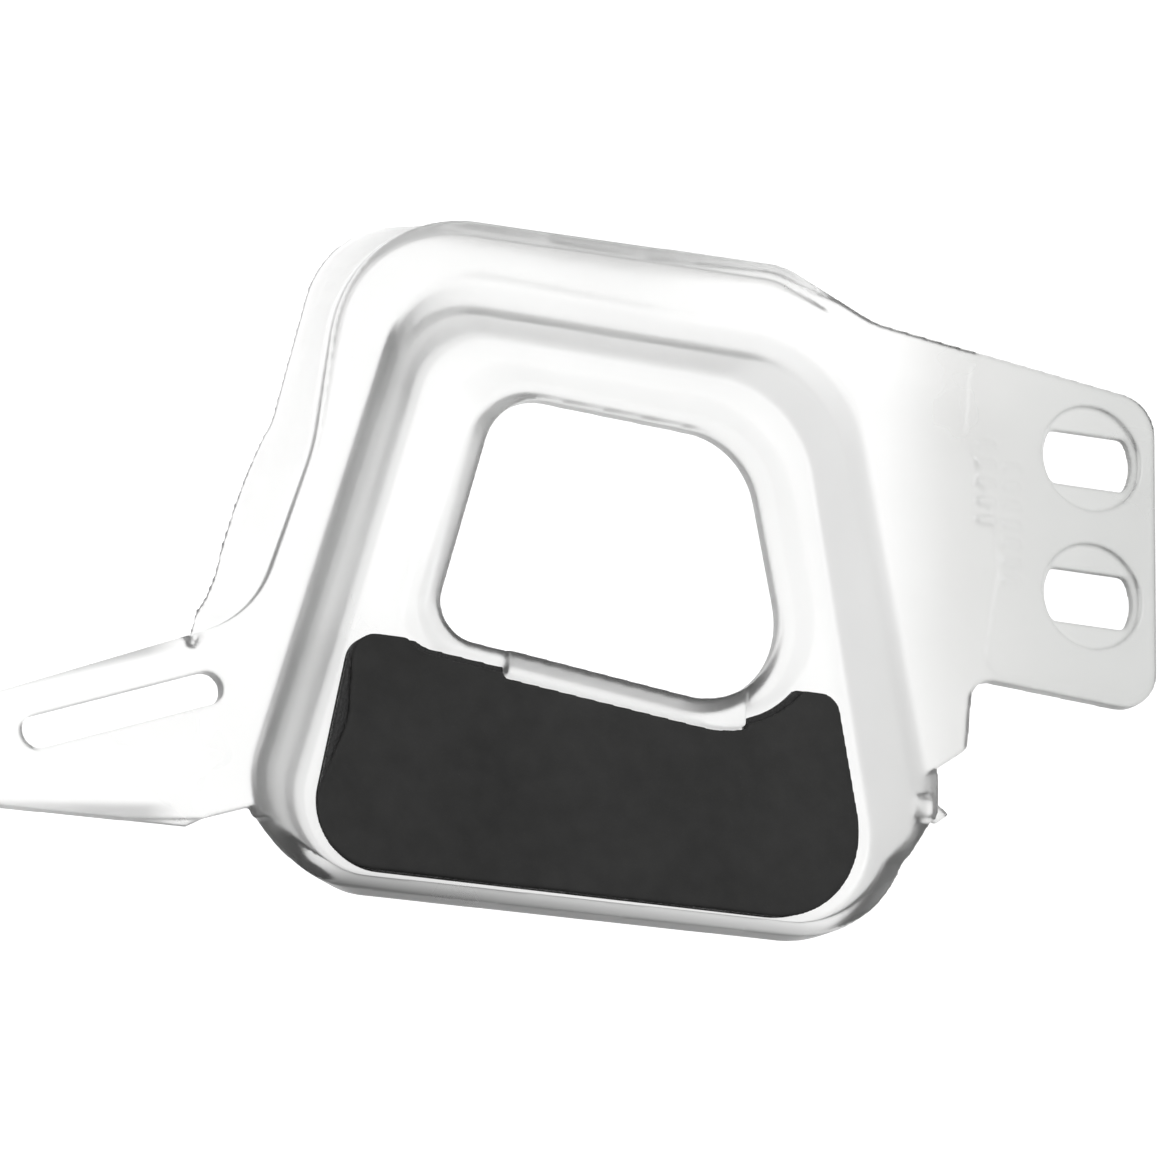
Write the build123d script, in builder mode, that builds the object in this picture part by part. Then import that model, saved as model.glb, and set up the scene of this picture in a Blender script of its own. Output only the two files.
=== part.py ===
from build123d import *
import os

os.makedirs("parts", exist_ok=True)

# ---------------------------------------------------------------- driving dimensions (mm)
left_end = -122.0        # outer end of the slotted tongue
right_end = 97.0         # outer end of the wide tongue
front_edge = -50.86      # outside of the front lip
back_edge = 66.94        # free edge of the skirt, at the back

flange_top = 14.0        # upper face of flange and tongues
flange_thick = 3.0
tongue_step = 0.5        # how much the wide tongue stands above the flange
bed_bottom = 1.0         # underside of the sunk tray
bed_top = 4.0            # floor of the tray
wall_thick = 2.4         # tray wall
lip_height = 3.4         # front lip above the tray floor
shoulder_radius = 2.2
foot_radius = 2.0
skirt_thick = 1.6
skirt_inset = 0.4        # its root sits just inside the flange's edge
skirt_root = 12.5

wall_bend = 10.5         # height at which the wall turns from steep to shallow
bead_height = 2.2        # collar round the window, sloped on its outside
window_relief = 2.2      # the window's underside is cut away all round
relief_height = 2.8

slot_width = 5.6         # clears an M5 adjuster bolt
slot_travel = 32.0       # between the centres of its round ends
slot_centre = (-92.9, -27.8)
slot_angle = 20.5

seat_radius = 9.25       # round seat for a fastener flange
seat_depth = 1.5
hole_radius = 8.2        # double-D hole
hole_flat = 4.6          # from the middle of the hole to each flat
hole_span = 25.0         # length of the bar that gives the hole its flats
seat_x = 84.5
seat_ys = (39.0, 14.7)

film_thick = 0.15
foam_thick = 1.5
skin_thick = 0.8
skin_edge = 0.4          # rounding of the skin's upper edge
pad_gap = 0.3            # between the foam and the moulding
skin_back = 1.4          # between the skin's back edge and the collar
rib_width = 1.9          # rib in front of the collar, at the back edge of the pad
rib_height = 3.0
rib_ends = (-20.5, 23.5)
rib_y = -20.0            # middle of the band that limits the rib
rib_band = 30.0

tick_length = 3.0        # plain raised ticks moulded on the wide tongue
tick_width = 1.1
tick_height = 0.45
tick_columns = ((64.4, 38.5, 5), (69.2, 35.0, 7))
tick_pitch = 3.3
gate_level = 8.5         # underside of the stub left by the gate
gate_height = 2.5
clearance = 1.0          # how far a cut runs past the material
tolerance = 0.05

# the origin is under the middle of the whole part
shift_x = -(left_end + right_end) / 2
shift_y = -(front_edge + back_edge) / 2


def level(height):
    """Plane parallel to the ground, at a height, with the window's middle near its own origin."""
    return Plane(origin=(shift_x, shift_y, height))


def outline(corners):
    """Closed outline inside a sketch, from (x, y, corner radius) triples."""
    points = [(x, y) for x, y, radius in corners]
    radii = [radius for x, y, radius in corners]
    with BuildLine() as edge:
        FilletPolyline(*points, radius=radii, close=True)
    make_face(edge.edges())


# ---------------------------------------------------------------- outlines (x, y, radius)
flange_corners = [
    (left_end, -47, 8), (left_end, -30.4, 8), (-69.5, -8.7, 20), (-59, 22, 40), (-52.8, 64.8, 27),
    (27, 65.3, 12), (44, 57.6, 15), (right_end, 50.6, 7), (right_end, -4.4, 7), (62.3, -2.2, 4),
    (61.2, -15, 2), (46, -26, 2), (-50, -34, 2), (-78, -44.2, 1.2), (-80.5, -45.8, 1),
]
wide_tongue_corners = [
    (62, 54.6, 3), (95.8, 49.5, 6), (95.8, -3.0, 6), (64, -1.2, 3), (67.5, 20, 20), (61, 40, 8),
]
window_corners = [(-34.2, -4.7, 6.4), (-21.8, 38.5, 11), (23.8, 35.9, 13), (33.7, -12.4, 15.5)]
bead_corners = [(-36.8, -6.4, 7), (-24.2, 41.2, 12), (26.4, 38.4, 14), (36.4, -14.4, 16.5)]
collar_corners = [(-40, -6.8, 5.5), (-29, 44.9, 13), (31.2, 43, 19), (42.3, -15.6, 20)]
tray_foot_corners = [(-60.5, -48.7, 13), (-32.1, 48.4, 14), (34.4, 46.8, 18), (50.6, -46.4, 17)]
tray_bend_corners = [(-69, -48.8, 13), (-38.6, 50, 15), (37, 48.6, 18), (56.5, -46.5, 21)]
tray_top_corners = [(-74.5, -48.9, 13), (-40.5, 57, 18), (38.8, 53.5, 20), (58.6, -46.5, 24)]
skirt_top_corners = [
    (-91, -17.5, 4), (-69.5, -8.7, 20), (-59, 22, 40), (-52.8, 64.8, 27), (27, 65.3, 12), (44, 57.6, 5),
    (50, 10, 5), (-40, -25, 5),
]
skirt_foot_corners = [
    (-91, -17.5, 4), (-80, 5, 10), (-61.5, 28, 15), (-51, 67.3, 20), (27, 65.5, 12), (44, 57.8, 5),
    (50, 10, 5), (-40, -25, 5),
]
foam_corners = [(-56.6, -47, 11), (-48.1, -6.7, 5), (40.2, -6, 3.5), (47.6, -45.6, 16.5)]
skin_corners = [
    (-56.9, -47.2, 10), (-54.4, -34, 8), (-49.2, -22, 12), (-48.4, -6.4, 5), (40.6, -6.2, 3.5),
    (48, -45.9, 16.5),
]
gate_corners = [(54.5, -22.7, 0.4), (59.2, -25.8, 0.4), (57.1, -27.6, 0.4), (53.5, -25.7, 0.4)]

# side view of what is kept of the skirt: (x, height) pairs
skirt_fade = [(-87, flange_top), (-61, -1), (4, -1), (46, flange_top)]
skirt_front = -15.0
skirt_back = 70.0

# the front of the tray is cut along a line from the slotted tongue to the gate
cut_start = Vector(-79.5, -44.6)
cut_end = Vector(60, -27.5)
cut_along = (cut_end - cut_start).normalized()
cut_outward = Vector(cut_along.Y, -cut_along.X)
front_plane = Plane(
    origin=cut_start + Vector(shift_x, shift_y), x_dir=cut_outward, z_dir=-cut_along
)
cut_start_height = 12.5
cut_slope = 6.0          # over this distance the wall drops to the lip
cut_depth = 60.0
cut_top = 20.0
lip_top = bed_top + lip_height
front_cut = [
    (0, cut_top), (0, cut_start_height), (cut_slope, lip_top), (cut_depth, lip_top), (cut_depth, cut_top),
]
front_cut_width = 200.0


def collar_area(margin):
    """The collar's outline, grown by a margin."""
    with BuildSketch() as area:
        outline(collar_corners)
        if margin > 0:
            offset(amount=margin)
    return area.sketch


def rib_area(margin):
    """Plan of the rib along the front of the collar, grown by a margin."""
    with BuildSketch() as area:
        add(collar_area(rib_width + margin))
        with Locations((sum(rib_ends) / 2, rib_y)):
            Rectangle(rib_ends[1] - rib_ends[0] + 2 * margin, rib_band, mode=Mode.INTERSECT)
    return area.sketch


def on_tray_rim(edges):
    """Those edges that lie on the tray's outline at the top of the flange."""
    with BuildSketch(level(flange_top)) as area:
        outline(tray_top_corners)
    rim = area.sketch.edges()
    return edges.filter_by(lambda edge: min(side.distance_to(edge.center()) for side in rim) < tolerance)


def at_height(edges, height):
    """Those edges that lie at a height."""
    return edges.filter_by_position(Axis.Z, height - tolerance, height + tolerance)


# ---------------------------------------------------------------- rolled-down skirt behind the flange
with BuildPart() as skirt:
    with BuildSketch(level(0)):
        outline(skirt_foot_corners)
    with BuildSketch(level(skirt_root)):
        outline(skirt_top_corners)
        offset(amount=-skirt_inset)
    loft()
    with BuildSketch(level(0)):
        outline(skirt_foot_corners)
        offset(amount=-skirt_thick)
    with BuildSketch(level(skirt_root)):
        outline(skirt_top_corners)
        offset(amount=-skirt_inset - skirt_thick)
    loft(mode=Mode.SUBTRACT)
    # nothing of it crosses the tray
    with BuildSketch(level(-clearance)):
        outline(tray_top_corners)
    extrude(amount=flange_top + clearance, mode=Mode.SUBTRACT)
    # it fades out into the two tongues
    with BuildSketch(Plane.XZ.offset(-(shift_y + skirt_back))):
        with BuildLine(Location((shift_x, 0))):
            Polyline(*skirt_fade, close=True)
        make_face()
    extrude(amount=skirt_back - skirt_front, mode=Mode.INTERSECT)

# ---------------------------------------------------------------- clear moulded strap
with BuildPart() as strap_shell:
    # flange and both tongues, one flat web
    with BuildSketch(level(flange_top - flange_thick)):
        outline(flange_corners)
    extrude(amount=flange_thick)

    # the wide tongue is a little thicker
    with BuildSketch(level(flange_top)):
        outline(wide_tongue_corners)
    extrude(amount=tongue_step)
    add(skirt.part)

    # outside of the tray
    with BuildSketch(level(bed_bottom)):
        outline(tray_foot_corners)
        offset(amount=wall_thick)
    with BuildSketch(level(wall_bend - wall_thick)):
        outline(tray_bend_corners)
        offset(amount=wall_thick)
    with BuildSketch(level(flange_top)):
        outline(tray_top_corners)
        offset(amount=wall_thick)
    loft(ruled=True)

    # hollow of the tray
    with BuildSketch(level(bed_top)):
        outline(tray_foot_corners)
    with BuildSketch(level(wall_bend)):
        outline(tray_bend_corners)
    with BuildSketch(level(flange_top)):
        outline(tray_top_corners)
    loft(ruled=True, mode=Mode.SUBTRACT)
    with BuildSketch(level(flange_top)):
        outline(tray_top_corners)
    extrude(amount=clearance, mode=Mode.SUBTRACT)

    # rounded shoulders where the flange turns down into the tray, and a rounded foot
    fillet(on_tray_rim(strap_shell.edges()), radius=shoulder_radius)
    fillet(at_height(strap_shell.edges(), bed_bottom), radius=foot_radius)

    # the tray's front wall is only a low lip, and the side walls slope down to it
    with BuildSketch(front_plane):
        with BuildLine():
            Polyline(*front_cut, close=True)
        make_face()
    extrude(amount=front_cut_width, both=True, mode=Mode.SUBTRACT)

    # collar round the window, and the rib in front of it
    with BuildSketch(level(bed_top)):
        outline(collar_corners)
    with BuildSketch(level(bed_top + bead_height)):
        outline(bead_corners)
    loft()
    with BuildSketch(level(bed_top)):
        add(rib_area(0))
    extrude(amount=rib_height)
    with BuildSketch(level(0)):
        outline(window_corners)
    extrude(amount=flange_top, mode=Mode.SUBTRACT)
    with BuildSketch(level(bed_bottom)):
        outline(window_corners)
        offset(amount=window_relief)
    with BuildSketch(level(bed_bottom + relief_height)):
        outline(window_corners)
    loft(mode=Mode.SUBTRACT)

    # adjuster slot in the narrow tongue
    with BuildSketch(level(0)):
        with Locations(Location(slot_centre, slot_angle)):
            SlotCenterToCenter(slot_travel, slot_width)
    extrude(amount=flange_top + clearance, mode=Mode.SUBTRACT)

    # round seats and double-D holes in the wide tongue
    for seat_y in seat_ys:
        with BuildSketch(level(flange_top + tongue_step - seat_depth)):
            with Locations((seat_x, seat_y)):
                Circle(seat_radius)
        extrude(amount=seat_depth, mode=Mode.SUBTRACT)
        with BuildSketch(level(0)):
            with Locations((seat_x, seat_y)):
                Circle(hole_radius)
                Rectangle(hole_span, 2 * hole_flat, mode=Mode.INTERSECT)
        extrude(amount=flange_top + clearance, mode=Mode.SUBTRACT)

    # two columns of plain raised ticks, and the stub left by the gate
    for tick_x, first_y, count in tick_columns:
        with BuildSketch(level(flange_top)):
            for place in range(count):
                with Locations((tick_x, first_y - place * tick_pitch)):
                    Rectangle(tick_length, tick_width)
        extrude(amount=tongue_step + tick_height)
    with BuildSketch(level(gate_level)):
        outline(gate_corners)
    extrude(amount=gate_height)
strap_shell.part.label = "strap_shell"
export_step(strap_shell.part, "parts/strap_shell.step")


# ---------------------------------------------------------------- bonded pad: film, foam and grip skin
def foam_plan():
    """Plan of the foam: it fills the lower bar and stops short of the collar and its rib."""
    with BuildSketch() as plan:
        outline(foam_corners)
        add(collar_area(pad_gap), mode=Mode.SUBTRACT)
        add(rib_area(pad_gap), mode=Mode.SUBTRACT)
    return plan.sketch


with BuildPart() as pad_adhesive:
    with BuildSketch(level(bed_top)):
        add(foam_plan())
    extrude(amount=film_thick)
pad_adhesive.part.label = "pad_adhesive"
export_step(pad_adhesive.part, "parts/pad_adhesive.step")

with BuildPart() as pad_foam:
    with BuildSketch(level(bed_top + film_thick)):
        add(foam_plan())
    extrude(amount=foam_thick)
pad_foam.part.label = "pad_foam"
export_step(pad_foam.part, "parts/pad_foam.step")

with BuildPart() as pad_face:
    with BuildSketch(level(bed_top + film_thick + foam_thick)):
        outline(skin_corners)
        add(collar_area(skin_back), mode=Mode.SUBTRACT)
        add(rib_area(pad_gap), mode=Mode.SUBTRACT)
    extrude(amount=skin_thick)
    fillet(pad_face.faces().sort_by(Axis.Z)[-1].edges(), radius=skin_edge)
pad_face.part.label = "pad_face"
export_step(pad_face.part, "parts/pad_face.step")
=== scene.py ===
import bmesh
import bpy
from mathutils import Matrix, Vector


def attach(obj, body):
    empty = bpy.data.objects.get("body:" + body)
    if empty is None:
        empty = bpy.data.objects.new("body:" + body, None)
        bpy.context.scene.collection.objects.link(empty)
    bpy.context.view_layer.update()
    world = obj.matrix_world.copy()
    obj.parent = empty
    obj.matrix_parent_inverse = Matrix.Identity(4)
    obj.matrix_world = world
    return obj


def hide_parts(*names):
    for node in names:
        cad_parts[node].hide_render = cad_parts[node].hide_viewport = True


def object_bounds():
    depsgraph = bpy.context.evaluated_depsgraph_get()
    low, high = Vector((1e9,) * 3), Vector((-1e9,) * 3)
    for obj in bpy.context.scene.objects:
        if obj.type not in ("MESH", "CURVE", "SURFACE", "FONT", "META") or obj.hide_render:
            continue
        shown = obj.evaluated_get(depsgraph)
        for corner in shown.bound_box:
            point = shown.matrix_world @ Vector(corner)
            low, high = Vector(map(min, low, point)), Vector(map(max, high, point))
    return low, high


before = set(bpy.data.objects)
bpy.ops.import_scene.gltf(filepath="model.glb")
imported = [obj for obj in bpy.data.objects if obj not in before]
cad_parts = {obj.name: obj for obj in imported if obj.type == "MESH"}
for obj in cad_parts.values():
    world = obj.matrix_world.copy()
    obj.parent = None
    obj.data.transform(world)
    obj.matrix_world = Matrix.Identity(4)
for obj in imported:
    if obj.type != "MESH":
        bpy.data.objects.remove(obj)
cad_low, cad_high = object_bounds()

# ---------------------------------------------------------------- camera
# A long lens looks down on the boot side of the strap, from beyond the slotted tongue and the pad.
# The strap is turned a little in the picture, so the picture's upward direction is given too.
toward_camera = Vector((-0.404, -0.288, 0.859)).normalized()
picture_up = Vector((-0.126, 0.953, 0.26))
picture_right = picture_up.cross(toward_camera).normalized()
picture_up = toward_camera.cross(picture_right)
camera_distance = 2.6
view_width = 0.1933
look_at = picture_right * 0.0075 + picture_up * 0.0005
camera_data = bpy.data.cameras.new("camera")
camera_data.sensor_width = 36.0
camera_data.lens = camera_data.sensor_width * camera_distance / view_width
camera = bpy.data.objects.new("camera", camera_data)
camera_turn = Matrix((picture_right, picture_up, toward_camera)).transposed().to_4x4()
camera.matrix_world = Matrix.Translation(look_at + toward_camera * camera_distance) @ camera_turn
bpy.context.scene.collection.objects.link(camera)
bpy.context.scene.camera = camera
bpy.context.scene.view_settings.view_transform = "Standard"

# ---------------------------------------------------------------- studio
# A glowing white table under the strap, white overhead and dim at the horizon.
# Clear plastic then stays white on its flat faces and turns grey along its edges.
world = bpy.data.worlds.new("studio")
bpy.context.scene.world = world
world.use_nodes = True
tent = world.node_tree
sky = tent.nodes["Background"]
sky.inputs["Strength"].default_value = 1.0
direction = tent.nodes.new("ShaderNodeTexCoord")
split_direction = tent.nodes.new("ShaderNodeSeparateXYZ")
tent_shade = tent.nodes.new("ShaderNodeValToRGB")
tent_shade.color_ramp.elements[0].position = 0.15
tent_shade.color_ramp.elements[0].color = (0.1, 0.1, 0.1, 1)
tent_shade.color_ramp.elements[1].position = 0.8
tent_shade.color_ramp.elements[1].color = (0.85, 0.85, 0.85, 1)
tent.links.new(direction.outputs["Generated"], split_direction.inputs["Vector"])
tent.links.new(split_direction.outputs["Z"], tent_shade.inputs["Fac"])
tent.links.new(tent_shade.outputs["Color"], sky.inputs["Color"])


def softbox(name, place, size, power):
    """A square area light that faces the strap."""
    light = bpy.data.lights.new(name, "AREA")
    light.size = size
    light.energy = power
    box = bpy.data.objects.new(name, light)
    box.location = place
    box.rotation_mode = "QUATERNION"
    box.rotation_quaternion = Vector(place).to_track_quat("Z", "Y")
    bpy.context.scene.collection.objects.link(box)


softbox("top_softbox", (-0.35, 0.45, 0.85), 0.5, 3.0)

table_half_width = 3.0
table_gap = 0.0003
floor_mesh = bmesh.new()
bmesh.ops.create_grid(floor_mesh, x_segments=1, y_segments=1, size=table_half_width)
bmesh.ops.translate(floor_mesh, verts=floor_mesh.verts, vec=(0, 0, cad_low.z - table_gap))
floor_data = bpy.data.meshes.new("floor")
floor_mesh.to_mesh(floor_data)
floor_mesh.free()
floor = bpy.data.objects.new("floor", floor_data)
bpy.context.scene.collection.objects.link(floor)
floor_paint = bpy.data.materials.new("light_table")
floor_paint.use_nodes = True
table = floor_paint.node_tree
floor_shader = table.nodes["Principled BSDF"]
floor_shader.inputs["Base Color"].default_value = (0.3, 0.3, 0.3, 1)
floor_shader.inputs["Roughness"].default_value = 0.9
floor_shader.inputs["Specular IOR Level"].default_value = 0.0
floor_shader.inputs["Emission Color"].default_value = (1, 1, 1, 1)
table_place = table.nodes.new("ShaderNodeTexCoord")
table_distance = table.nodes.new("ShaderNodeVectorMath")
table_distance.operation = "LENGTH"
table_glow = table.nodes.new("ShaderNodeMapRange")
table_glow.interpolation_type = "SMOOTHSTEP"
table_glow.inputs["From Min"].default_value = 0.16
table_glow.inputs["From Max"].default_value = 0.6
table_glow.inputs["To Min"].default_value = 1.05
table_glow.inputs["To Max"].default_value = 0.2
table.links.new(table_place.outputs["Object"], table_distance.inputs["Vector"])
table.links.new(table_distance.outputs["Value"], table_glow.inputs["Value"])
table.links.new(table_glow.outputs["Result"], floor_shader.inputs["Emission Strength"])
floor_data.materials.append(floor_paint)


# ---------------------------------------------------------------- clear moulded strap
# One injection moulding in clear TPU: flange, sunk tray, window collar, lip, skirt and both tongues.
# Every edge of the tool is eased, so the moulding has no sharp corner.
weld = 1e-6


def welded(node):
    """A CAD node's own solid as an editable mesh, with its faces joined up."""
    solid = bmesh.new()
    solid.from_mesh(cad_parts[node].data)
    bmesh.ops.remove_doubles(solid, verts=solid.verts, dist=weld)
    return solid


def moulded(name, node, voxel, rounds, kept):
    """A piece with eased edges, shaped from a CAD node's own solid, with a share of its faces kept."""
    solid = welded(node)
    sharp = bpy.data.meshes.new(name + "_sharp")
    solid.to_mesh(sharp)
    solid.free()
    draft = bpy.data.objects.new(name + "_draft", sharp)
    bpy.context.scene.collection.objects.link(draft)
    even = draft.modifiers.new("even", "REMESH")
    even.mode = "VOXEL"
    even.voxel_size = voxel
    eased = draft.modifiers.new("eased", "SMOOTH")
    eased.factor = 0.5
    eased.iterations = rounds
    thinned = draft.modifiers.new("thinned", "DECIMATE")
    thinned.ratio = kept
    evaluated = draft.evaluated_get(bpy.context.evaluated_depsgraph_get())
    fine = bpy.data.meshes.new_from_object(evaluated)
    bpy.data.objects.remove(draft)
    for face in fine.polygons:
        face.use_smooth = True
    fine.name = name
    piece = bpy.data.objects.new(name, fine)
    bpy.context.scene.collection.objects.link(piece)
    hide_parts(node)
    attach(piece, "root")
    return piece


strap = moulded("clear_strap", "strap_shell", 0.00042, 9, 0.36)
clear_tpu = bpy.data.materials.new("clear_tpu")
clear_tpu.use_nodes = True
tpu = clear_tpu.node_tree
tpu_shader = tpu.nodes["Principled BSDF"]
tpu_shader.inputs["Transmission Weight"].default_value = 1.0
tpu_shader.inputs["IOR"].default_value = 1.49
place = tpu.nodes.new("ShaderNodeTexCoord")
clouds = tpu.nodes.new("ShaderNodeTexNoise")
clouds.inputs["Scale"].default_value = 40.0
clouds.inputs["Detail"].default_value = 3.0
milk = tpu.nodes.new("ShaderNodeMapRange")
milk.inputs["From Min"].default_value = 0.3
milk.inputs["From Max"].default_value = 0.7
milk.inputs["To Min"].default_value = 0.94
milk.inputs["To Max"].default_value = 1.0
split_place = tpu.nodes.new("ShaderNodeSeparateXYZ")
# the base colour greys towards +X, with a middle step over the wide tongue
greyer_rightward = tpu.nodes.new("ShaderNodeValToRGB")
greyer_rightward.color_ramp.elements[0].position = 0.058
greyer_rightward.color_ramp.elements[0].color = (0.99, 0.99, 0.985, 1)
greyer_rightward.color_ramp.elements[1].position = 0.1
greyer_rightward.color_ramp.elements[1].color = (0.66, 0.665, 0.655, 1)
wide_tongue = greyer_rightward.color_ramp.elements.new(0.072)
wide_tongue.color = (0.77, 0.77, 0.76, 1)
haze = tpu.nodes.new("ShaderNodeMapRange")
haze.inputs["To Min"].default_value = 0.22
haze.inputs["To Max"].default_value = 0.38
ripple = tpu.nodes.new("ShaderNodeTexNoise")
ripple.inputs["Scale"].default_value = 130.0
ripple.inputs["Detail"].default_value = 2.0
bump = tpu.nodes.new("ShaderNodeBump")
bump.inputs["Strength"].default_value = 0.12
bump.inputs["Distance"].default_value = 0.0006
depth = tpu.nodes.new("ShaderNodeVolumeAbsorption")
depth.inputs["Color"].default_value = (0.5, 0.505, 0.5, 1)
depth.inputs["Density"].default_value = 55.0
# painted shade: the steep walls of the tray and the left tongue are painted grey, and the skirt much less
# so
slope = tpu.nodes.new("ShaderNodeVectorMath")
slope.operation = "MULTIPLY"
slope.inputs[1].default_value = (1, 0.6, 0)
steep = tpu.nodes.new("ShaderNodeVectorMath")
steep.operation = "LENGTH"
steepness = tpu.nodes.new("ShaderNodeMapRange")
steepness.interpolation_type = "SMOOTHSTEP"
steepness.inputs["From Min"].default_value = 0.15
steepness.inputs["From Max"].default_value = 0.8
across = tpu.nodes.new("ShaderNodeVectorMath")
across.operation = "DOT_PRODUCT"
across.inputs[1].default_value = (-0.952, 0.306, 0)
inside_skirt = tpu.nodes.new("ShaderNodeMapRange")
inside_skirt.inputs["From Min"].default_value = 0.0458
inside_skirt.inputs["From Max"].default_value = 0.0425
inside_skirt.inputs["To Min"].default_value = 0.15
on_tongue = tpu.nodes.new("ShaderNodeMapRange")
on_tongue.inputs["From Min"].default_value = -0.018
on_tongue.inputs["From Max"].default_value = -0.024
either = tpu.nodes.new("ShaderNodeMath")
either.operation = "MAXIMUM"
wall_shade_mask = tpu.nodes.new("ShaderNodeMath")
wall_shade_mask.operation = "MULTIPLY"
painted_wall_shade = tpu.nodes.new("ShaderNodeMapRange")
painted_wall_shade.inputs["To Min"].default_value = 1.0
painted_wall_shade.inputs["To Max"].default_value = 0.8
# painted shade on the walls and the tongue edges, times the random milkiness of the plastic
painted_shade_and_milk = tpu.nodes.new("ShaderNodeMath")
painted_shade_and_milk.operation = "MULTIPLY"
# the rim in front of the pad is painted dark, a painted image of the black foam seen through it, not the
# rim's own colour
rim_painted_foam_image = tpu.nodes.new("ShaderNodeValToRGB")
rim_painted_foam_image.color_ramp.elements[0].position = 0.0545
rim_painted_foam_image.color_ramp.elements[0].color = (1, 1, 1, 1)
rim_painted_foam_image.color_ramp.elements[1].position = 0.0589
rim_painted_foam_image.color_ramp.elements[1].color = (0.06, 0.06, 0.06, 1)
rim_middle = rim_painted_foam_image.color_ramp.elements.new(0.056)
rim_middle.color = (0.6, 0.6, 0.6, 1)
darkest = rim_painted_foam_image.color_ramp.elements.new(0.0578)
darkest.color = (0.0, 0.0, 0.0, 1)
# painted shade: a soft grey band is painted along each long edge of the slotted tongue
on_left = tpu.nodes.new("ShaderNodeMapRange")
on_left.inputs["From Min"].default_value = -0.07
on_left.inputs["From Max"].default_value = -0.076
edge_shade_bands = tpu.nodes.new("ShaderNodeMath")
edge_shade_bands.operation = "MAXIMUM"
front_edge = ((0.112, -0.994, 0), 0.0418)
back_edge = ((-0.334, 0.943, 0), 0.0002)
band_width = 0.0014
for side, (outward, band_start) in enumerate((front_edge, back_edge)):
    reach = tpu.nodes.new("ShaderNodeVectorMath")
    reach.operation = "DOT_PRODUCT"
    reach.inputs[1].default_value = outward
    band = tpu.nodes.new("ShaderNodeMapRange")
    band.interpolation_type = "SMOOTHSTEP"
    band.inputs["From Min"].default_value = band_start
    band.inputs["From Max"].default_value = band_start + band_width
    tpu.links.new(place.outputs["Object"], reach.inputs[0])
    tpu.links.new(reach.outputs["Value"], band.inputs["Value"])
    tpu.links.new(band.outputs["Result"], edge_shade_bands.inputs[side])
tongue_edge_shade_mask = tpu.nodes.new("ShaderNodeMath")
tongue_edge_shade_mask.operation = "MULTIPLY"
# painted shade: the edge bands grey the base colour down to 0.62
painted_edge_shade = tpu.nodes.new("ShaderNodeMapRange")
painted_edge_shade.inputs["To Min"].default_value = 1.0
painted_edge_shade.inputs["To Max"].default_value = 0.62
edge_shade_and_milk = tpu.nodes.new("ShaderNodeMath")
edge_shade_and_milk.operation = "MULTIPLY"
toward_front = tpu.nodes.new("ShaderNodeMath")
toward_front.operation = "MULTIPLY"
toward_front.inputs[1].default_value = -1.0
for texture in (clouds, ripple):
    tpu.links.new(place.outputs["Object"], texture.inputs["Vector"])
tpu.links.new(place.outputs["Object"], split_place.inputs["Vector"])
tpu.links.new(split_place.outputs["X"], greyer_rightward.inputs["Fac"])
tpu.links.new(clouds.outputs["Fac"], milk.inputs["Value"])
tpu.links.new(place.outputs["Normal"], slope.inputs[0])
tpu.links.new(slope.outputs["Vector"], steep.inputs[0])
tpu.links.new(steep.outputs["Value"], steepness.inputs["Value"])
tpu.links.new(place.outputs["Object"], across.inputs[0])
tpu.links.new(across.outputs["Value"], inside_skirt.inputs["Value"])
tpu.links.new(steepness.outputs["Result"], wall_shade_mask.inputs[0])
tpu.links.new(split_place.outputs["Y"], on_tongue.inputs["Value"])
tpu.links.new(inside_skirt.outputs["Result"], either.inputs[0])
tpu.links.new(on_tongue.outputs["Result"], either.inputs[1])
tpu.links.new(either.outputs["Value"], wall_shade_mask.inputs[1])
tpu.links.new(wall_shade_mask.outputs["Value"], painted_wall_shade.inputs["Value"])
tpu.links.new(painted_wall_shade.outputs["Result"], painted_shade_and_milk.inputs[0])
tpu.links.new(split_place.outputs["X"], on_left.inputs["Value"])
tpu.links.new(edge_shade_bands.outputs["Value"], tongue_edge_shade_mask.inputs[0])
tpu.links.new(on_left.outputs["Result"], tongue_edge_shade_mask.inputs[1])
tpu.links.new(tongue_edge_shade_mask.outputs["Value"], painted_edge_shade.inputs["Value"])
tpu.links.new(painted_edge_shade.outputs["Result"], edge_shade_and_milk.inputs[0])
tpu.links.new(milk.outputs["Result"], edge_shade_and_milk.inputs[1])
tpu.links.new(edge_shade_and_milk.outputs["Value"], painted_shade_and_milk.inputs[1])


def multiplied(first, second):
    """The product of two colours, as an output socket."""
    product = tpu.nodes.new("ShaderNodeMix")
    product.data_type = "RGBA"
    product.blend_type = "MULTIPLY"
    product.inputs["Factor"].default_value = 1.0
    colours_in = [socket for socket in product.inputs if socket.type == "RGBA"]
    tpu.links.new(first, colours_in[0])
    tpu.links.new(second, colours_in[1])
    return next(socket for socket in product.outputs if socket.type == "RGBA")


# the rightward grey times the painted shade on the walls and tongue edges
rightward_grey_and_painted_shade = multiplied(greyer_rightward.outputs["Color"], painted_shade_and_milk.outputs["Value"])
tpu.links.new(split_place.outputs["Y"], toward_front.inputs[0])
tpu.links.new(toward_front.outputs["Value"], rim_painted_foam_image.inputs["Fac"])
tpu.links.new(multiplied(rightward_grey_and_painted_shade, rim_painted_foam_image.outputs["Color"]), tpu_shader.inputs["Base Color"])
tpu.links.new(clouds.outputs["Fac"], haze.inputs["Value"])
tpu.links.new(haze.outputs["Result"], tpu_shader.inputs["Roughness"])
tpu.links.new(ripple.outputs["Fac"], bump.inputs["Height"])
tpu.links.new(bump.outputs["Normal"], tpu_shader.inputs["Normal"])
tpu.links.new(depth.outputs["Volume"], tpu.nodes["Material Output"].inputs["Volume"])
strap.data.materials.clear()
strap.data.materials.append(clear_tpu)

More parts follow.
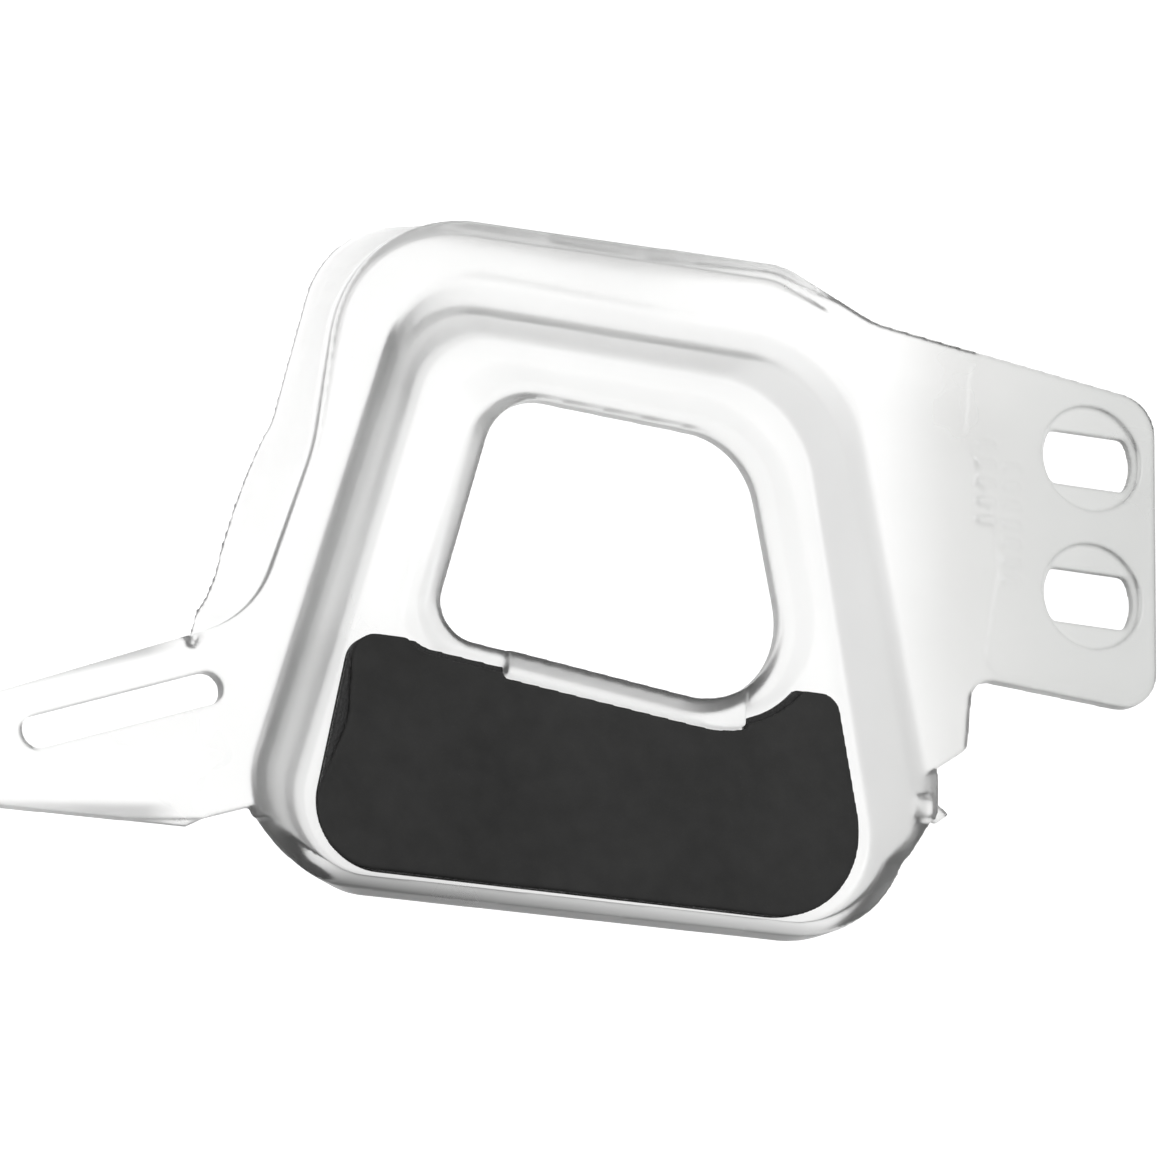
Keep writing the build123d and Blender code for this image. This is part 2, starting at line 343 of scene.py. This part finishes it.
# ---------------------------------------------------------------- foam core of the pad
# Black closed-cell foam, die-cut and bonded to the tray floor. Only its cut edge shows.
foam = moulded("foam_core", "pad_foam", 0.0004, 3, 0.5)
black_foam = bpy.data.materials.new("black_foam")
black_foam.use_nodes = True
cells = black_foam.node_tree
foam_shader = cells.nodes["Principled BSDF"]
foam_place = cells.nodes.new("ShaderNodeTexCoord")
bubbles = cells.nodes.new("ShaderNodeTexVoronoi")
bubbles.inputs["Scale"].default_value = 2600.0
foam_tone = cells.nodes.new("ShaderNodeValToRGB")
foam_tone.color_ramp.elements[0].color = (0.003, 0.003, 0.003, 1)
foam_tone.color_ramp.elements[1].color = (0.014, 0.014, 0.014, 1)
foam_gloss = cells.nodes.new("ShaderNodeMapRange")
foam_gloss.inputs["To Min"].default_value = 0.35
foam_gloss.inputs["To Max"].default_value = 0.8
foam_bump = cells.nodes.new("ShaderNodeBump")
foam_bump.inputs["Strength"].default_value = 0.6
foam_bump.inputs["Distance"].default_value = 0.0002
cells.links.new(foam_place.outputs["Object"], bubbles.inputs["Vector"])
cells.links.new(bubbles.outputs["Distance"], foam_tone.inputs["Fac"])
cells.links.new(foam_tone.outputs["Color"], foam_shader.inputs["Base Color"])
cells.links.new(bubbles.outputs["Distance"], foam_gloss.inputs["Value"])
cells.links.new(foam_gloss.outputs["Result"], foam_shader.inputs["Roughness"])
cells.links.new(bubbles.outputs["Distance"], foam_bump.inputs["Height"])
cells.links.new(foam_bump.outputs["Normal"], foam_shader.inputs["Normal"])
foam.data.materials.clear()
foam.data.materials.append(black_foam)

# ---------------------------------------------------------------- grip skin of the pad
# A dark grey matt rubber skin, laminated on the foam before the pad was die-cut.
skin = moulded("grip_skin", "pad_face", 0.00036, 4, 0.5)
grip = bpy.data.materials.new("grip_skin")
grip.use_nodes = True
grain = grip.node_tree
grip_shader = grain.nodes["Principled BSDF"]
grip_shader.inputs["Specular IOR Level"].default_value = 0.3
grip_place = grain.nodes.new("ShaderNodeTexCoord")
mottle = grain.nodes.new("ShaderNodeTexNoise")
mottle.inputs["Scale"].default_value = 260.0
mottle.inputs["Detail"].default_value = 6.0
patches = grain.nodes.new("ShaderNodeTexNoise")
patches.inputs["Scale"].default_value = 28.0
patches.inputs["Detail"].default_value = 2.0
blend_noise = grain.nodes.new("ShaderNodeMix")
blend_noise.data_type = "FLOAT"
grip_tone = grain.nodes.new("ShaderNodeValToRGB")
grip_tone.color_ramp.elements[0].position = 0.3
grip_tone.color_ramp.elements[0].color = (0.016, 0.016, 0.0157, 1)
grip_tone.color_ramp.elements[1].position = 0.72
grip_tone.color_ramp.elements[1].color = (0.036, 0.036, 0.0354, 1)
grip_rough = grain.nodes.new("ShaderNodeMapRange")
grip_rough.inputs["To Min"].default_value = 0.62
grip_rough.inputs["To Max"].default_value = 0.88
pores = grain.nodes.new("ShaderNodeTexNoise")
pores.inputs["Scale"].default_value = 1900.0
pores.inputs["Detail"].default_value = 4.0
grip_bump = grain.nodes.new("ShaderNodeBump")
grip_bump.inputs["Strength"].default_value = 0.45
grip_bump.inputs["Distance"].default_value = 0.00015
for texture in (mottle, patches, pores):
    grain.links.new(grip_place.outputs["Object"], texture.inputs["Vector"])
grain.links.new(mottle.outputs["Fac"], blend_noise.inputs[2])
grain.links.new(patches.outputs["Fac"], blend_noise.inputs[3])
grain.links.new(blend_noise.outputs[0], grip_tone.inputs["Fac"])
grain.links.new(grip_tone.outputs["Color"], grip_shader.inputs["Base Color"])
grain.links.new(mottle.outputs["Fac"], grip_rough.inputs["Value"])
grain.links.new(grip_rough.outputs["Result"], grip_shader.inputs["Roughness"])
grain.links.new(pores.outputs["Fac"], grip_bump.inputs["Height"])
grain.links.new(grip_bump.outputs["Normal"], grip_shader.inputs["Normal"])
skin.data.materials.clear()
skin.data.materials.append(grip)

# ---------------------------------------------------------------- bonding film
# A thin film of adhesive, painted near black as painted shade, so the pad looks black through the clear
# moulding.
# Its underside is set a little into the tray floor, with no air under it.
keyed_in = 0.0002
bonded = welded("pad_adhesive")
film_low = min(vert.co.z for vert in bonded.verts)
for vert in bonded.verts:
    if vert.co.z < film_low + keyed_in / 4:
        vert.co.z -= keyed_in
film_mesh = bpy.data.meshes.new("bonding_film")
bonded.to_mesh(film_mesh)
bonded.free()
film = bpy.data.objects.new("bonding_film", film_mesh)
bpy.context.scene.collection.objects.link(film)
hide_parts("pad_adhesive")
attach(film, "root")
bonding_film = bpy.data.materials.new("bonding_film")
bonding_film.use_nodes = True
glue = bonding_film.node_tree
glue_shader = glue.nodes["Principled BSDF"]
glue_place = glue.nodes.new("ShaderNodeTexCoord")
streaks = glue.nodes.new("ShaderNodeTexNoise")
streaks.inputs["Scale"].default_value = 300.0
film_painted_shade_and_streaks = glue.nodes.new("ShaderNodeValToRGB")
# painted shade: a near-black film colour, with random streaks
film_painted_shade_and_streaks.color_ramp.elements[0].color = (0.012, 0.012, 0.012, 1)
film_painted_shade_and_streaks.color_ramp.elements[1].color = (0.03, 0.03, 0.029, 1)
glue_rough = glue.nodes.new("ShaderNodeMapRange")
glue_rough.inputs["To Min"].default_value = 0.2
glue_rough.inputs["To Max"].default_value = 0.5
glue_bump = glue.nodes.new("ShaderNodeBump")
glue_bump.inputs["Strength"].default_value = 0.3
glue_bump.inputs["Distance"].default_value = 0.0001
glue.links.new(glue_place.outputs["Object"], streaks.inputs["Vector"])
glue.links.new(streaks.outputs["Fac"], film_painted_shade_and_streaks.inputs["Fac"])
glue.links.new(film_painted_shade_and_streaks.outputs["Color"], glue_shader.inputs["Base Color"])
glue.links.new(streaks.outputs["Fac"], glue_rough.inputs["Value"])
glue.links.new(glue_rough.outputs["Result"], glue_shader.inputs["Roughness"])
glue.links.new(streaks.outputs["Fac"], glue_bump.inputs["Height"])
glue.links.new(glue_bump.outputs["Normal"], glue_shader.inputs["Normal"])
film.data.materials.clear()
film.data.materials.append(bonding_film)
